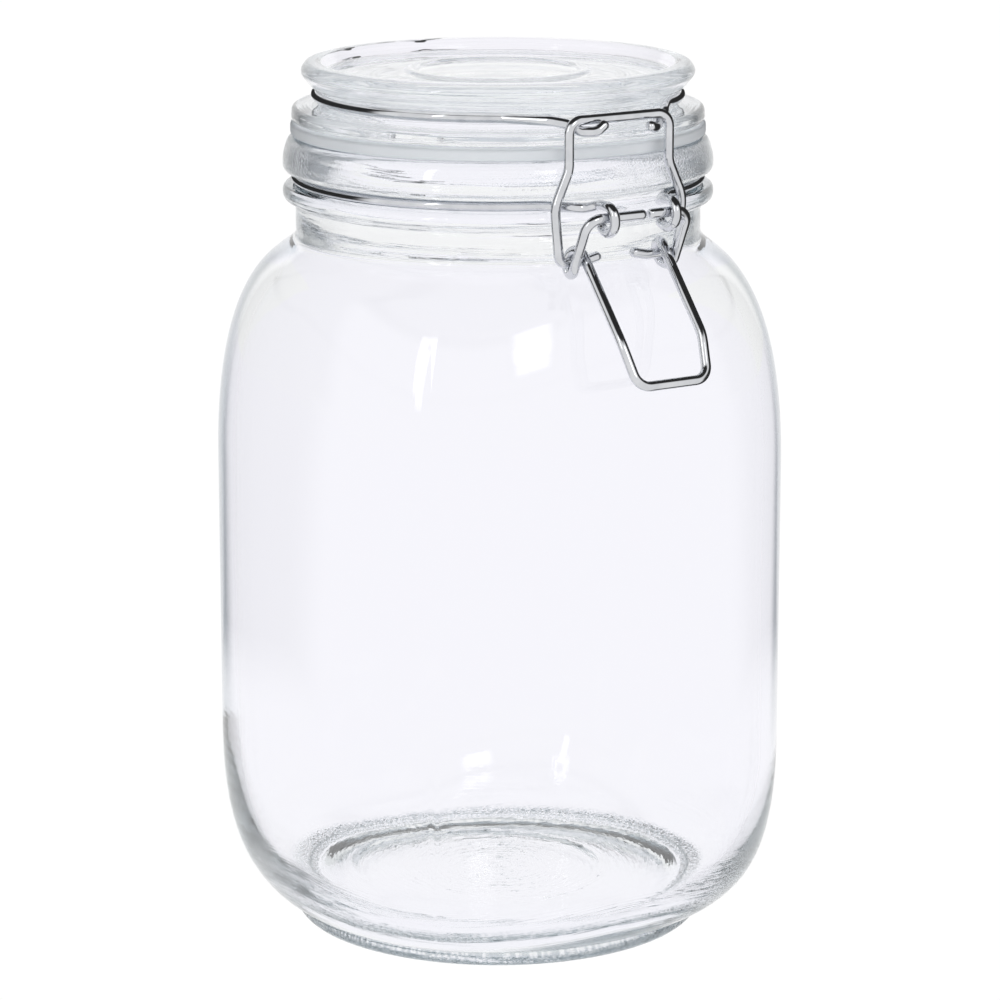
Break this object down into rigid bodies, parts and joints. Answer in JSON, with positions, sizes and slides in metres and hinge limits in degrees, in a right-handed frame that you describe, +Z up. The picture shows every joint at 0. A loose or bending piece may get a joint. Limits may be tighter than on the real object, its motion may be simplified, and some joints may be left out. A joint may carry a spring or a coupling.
{
  "type": "clip top jar",
  "caption": "Clear glass storage jar with a rounded-square body, round neck, hinged glass lid, rubber ring and sprung wire clip.",
  "frame": {"origin": "middle of the whole outline on the surface that the jar stands on; the jar's own axis is 5.7 mm behind it, because the clip reaches further out at the front", "axes": "+Z up along the jar's axis, -Y towards the clip, +Y towards the lid's hinge"},
  "size_m": [0.122, 0.1334, 0.203],
  "materials": {
    "glass": "clear pressed soda-lime glass, fire polished",
    "rubber_ring": "translucent pale silicone rubber, smooth",
    "steel_wire": "bright drawn steel wire"
  },
  "bodies": {
    "jar": {"jar_body": "glass", "neck_wire": "steel_wire"},
    "lid": {"lid": "glass", "gasket": "rubber_ring", "lid_wire": "steel_wire"},
    "lever": {"lever": "steel_wire"},
    "link": {"link": "steel_wire"}
  },
  "joints": [
    {"name": "lid_hinge", "type": "hinge", "parent": "jar", "child": "lid", "pos_m": [0, 0.05973, 0.184], "axis": [-1, 0, 0], "range_deg": [0, 110]},
    {"name": "lever_pivot", "type": "hinge", "parent": "jar", "child": "lever", "pos_m": [0, -0.05178, 0.1748], "axis": [-1, 0, 0], "range_deg": [0, 120]},
    {"name": "link_pivot", "type": "hinge", "parent": "lever", "child": "link", "pos_m": [0, -0.04398, 0.1642], "axis": [-1, 0, 0], "range_deg": [-120, 0]}
  ],
  "couplings": [
    {"joint": "link_pivot", "follows": "lever_pivot", "ratio": -1}
  ]
}
